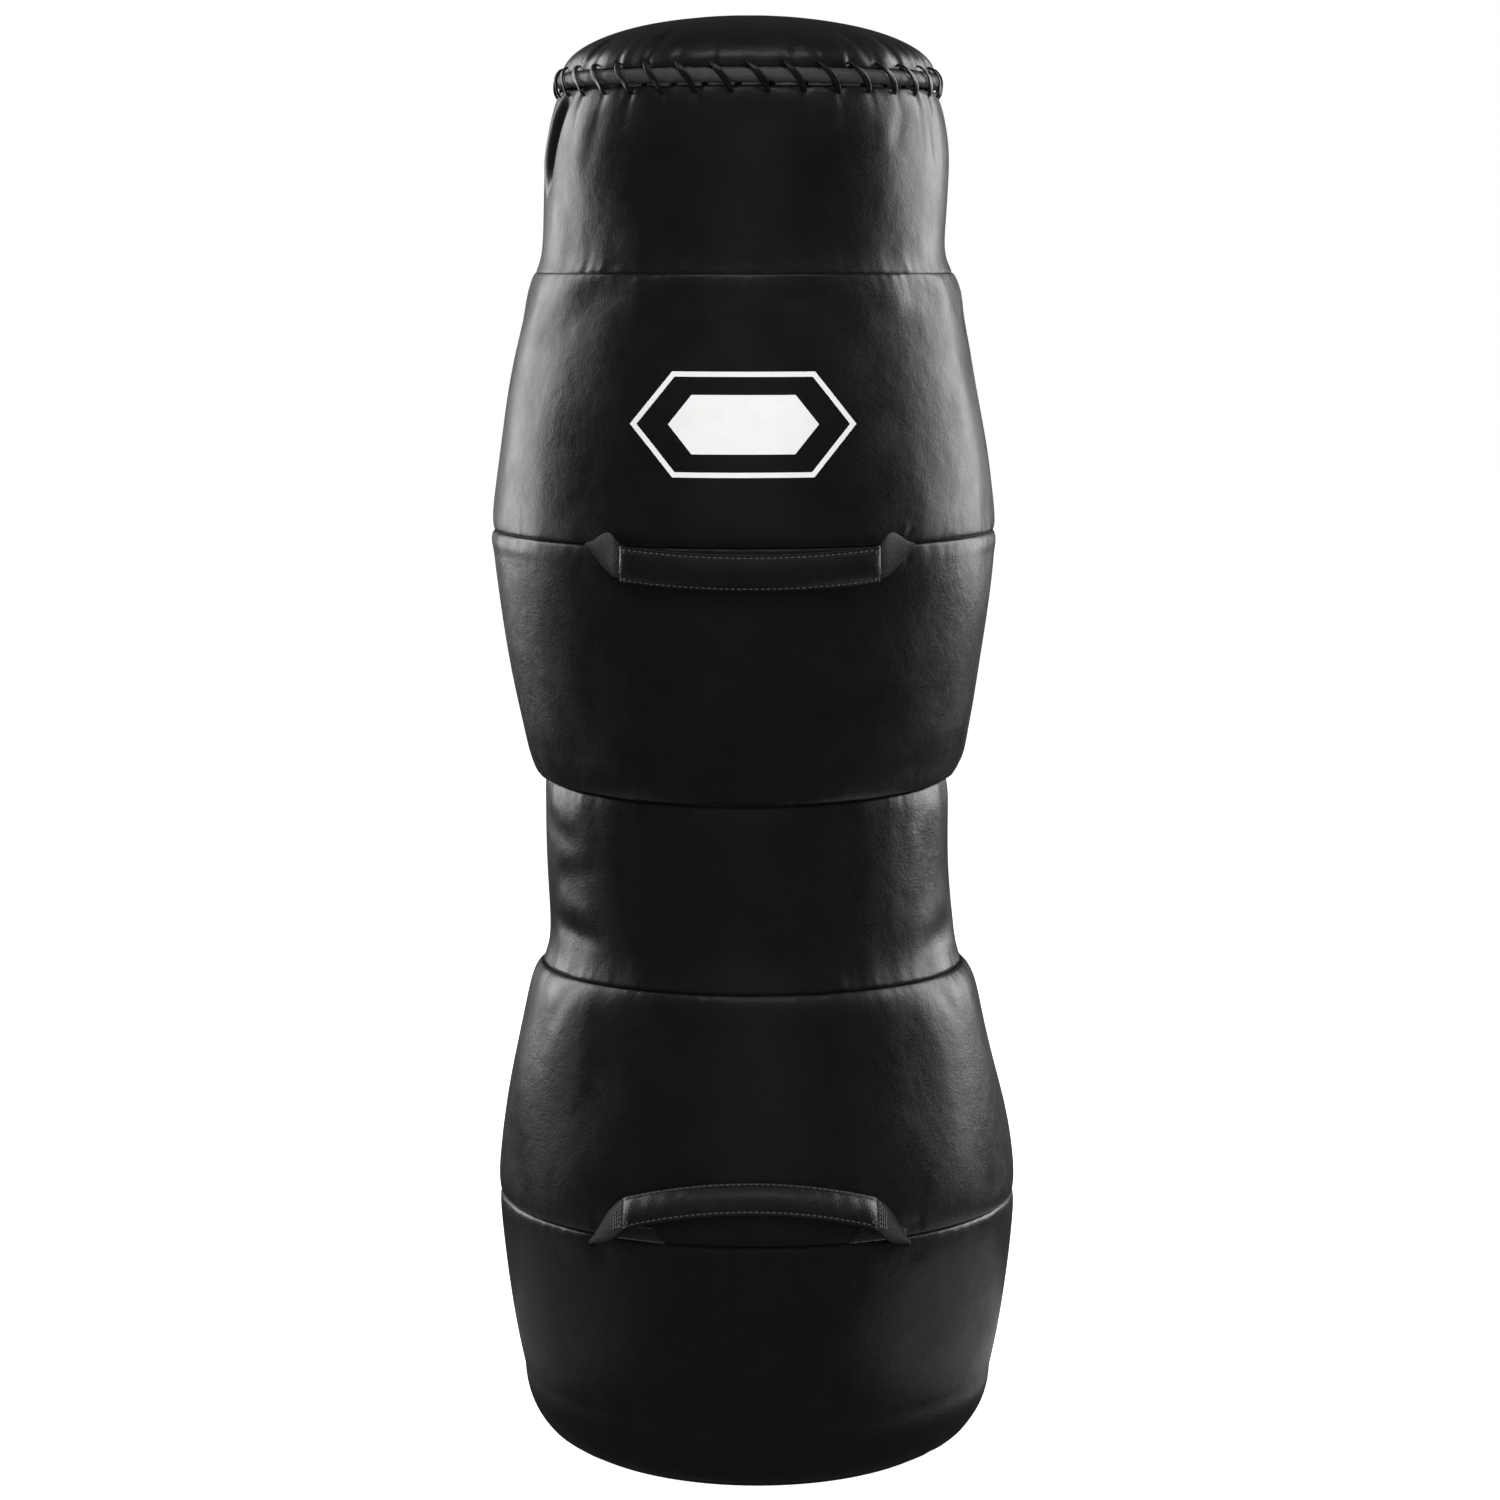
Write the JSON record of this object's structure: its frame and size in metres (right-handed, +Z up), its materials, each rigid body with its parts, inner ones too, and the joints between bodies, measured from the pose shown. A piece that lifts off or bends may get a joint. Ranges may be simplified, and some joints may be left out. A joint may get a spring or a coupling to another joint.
{
  "type": "grappling dummy",
  "caption": "Free-standing stuffed leather grappling dummy: a banded torso that narrows at the waist, with a laced domed crown and strap handles at chest and hips.",
  "frame": {"origin": "middle of the base, on the floor", "axes": "+Z up along the dummy, -Y towards the front, where the printed chest is"},
  "size_m": [0.442, 0.5004, 1.2],
  "materials": {
    "cover_leather": "satin grained",
    "handle_leather": "satin grained",
    "rim_leather": "satin",
    "lace_leather": "satin",
    "cotton_cord": "twisted cotton",
    "seam_tape": "woven",
    "liner_canvas": "woven",
    "pad_foam": "open-cell foam",
    "textile_stuffing": "shredded textile",
    "strap_webbing": "woven nylon",
    "print_film": "matt printed film"
  },
  "bodies": {
    "lower_body": {"waist_panel": "cover_leather", "hip_panel": "cover_leather", "thigh_panel": "cover_leather", "base_panel": "cover_leather", "waist_bottom_tape": "seam_tape", "hip_seam_tape": "seam_tape", "base_seam_tape": "seam_tape", "lower_liner": "liner_canvas", "lower_foam": "pad_foam", "lower_fill": "textile_stuffing", "hip_front_anchors": "strap_webbing", "hip_back_anchors": "strap_webbing"},
    "upper_body": {"crown_panel": "cover_leather", "crown_pad": "pad_foam", "rim_welt_cover": "rim_leather", "rim_welt_cord": "cotton_cord", "rim_lace": "lace_leather", "neck_panel": "cover_leather", "shoulder_panel": "cover_leather", "ribs_panel": "cover_leather", "neck_seam_tape": "seam_tape", "chest_seam_tape": "seam_tape", "waist_top_tape": "seam_tape", "upper_liner": "liner_canvas", "upper_foam": "pad_foam", "upper_fill": "textile_stuffing", "chest_print": "print_film", "chest_front_anchors": "strap_webbing", "chest_back_anchors": "strap_webbing"},
    "chest_front_handle": {"chest_front_sleeve": "handle_leather", "chest_front_padding": "pad_foam", "chest_front_webbing": "strap_webbing"},
    "chest_back_handle": {"chest_back_sleeve": "handle_leather", "chest_back_padding": "pad_foam", "chest_back_webbing": "strap_webbing"},
    "hip_front_handle": {"hip_front_sleeve": "handle_leather", "hip_front_padding": "pad_foam", "hip_front_webbing": "strap_webbing"},
    "hip_back_handle": {"hip_back_sleeve": "handle_leather", "hip_back_padding": "pad_foam", "hip_back_webbing": "strap_webbing"}
  },
  "joints": [
    {"name": "waist_bend", "type": "hinge", "parent": "lower_body", "child": "upper_body", "pos_m": [0, 0, 0.494], "axis": [1, 0, 0], "range_deg": [-10, 10], "stiffness_Nm_per_rad": 900, "deforming": ["waist_panel"]},
    {"name": "chest_front_handle_lift", "type": "hinge", "parent": "upper_body", "child": "chest_front_handle", "pos_m": [0, -0.17337, 0.779], "axis": [-1, 0, 0], "range_deg": [-32, 58], "stiffness_Nm_per_rad": 3},
    {"name": "chest_back_handle_lift", "type": "hinge", "parent": "upper_body", "child": "chest_back_handle", "pos_m": [0, 0.17337, 0.779], "axis": [1, 0, 0], "range_deg": [-32, 58], "stiffness_Nm_per_rad": 3},
    {"name": "hip_front_handle_lift", "type": "hinge", "parent": "lower_body", "child": "hip_front_handle", "pos_m": [0, -0.18565, 0.214], "axis": [-1, 0, 0], "range_deg": [-93, 3], "stiffness_Nm_per_rad": 3},
    {"name": "hip_back_handle_lift", "type": "hinge", "parent": "lower_body", "child": "hip_back_handle", "pos_m": [0, 0.18565, 0.214], "axis": [1, 0, 0], "range_deg": [-93, 3], "stiffness_Nm_per_rad": 3}
  ]
}
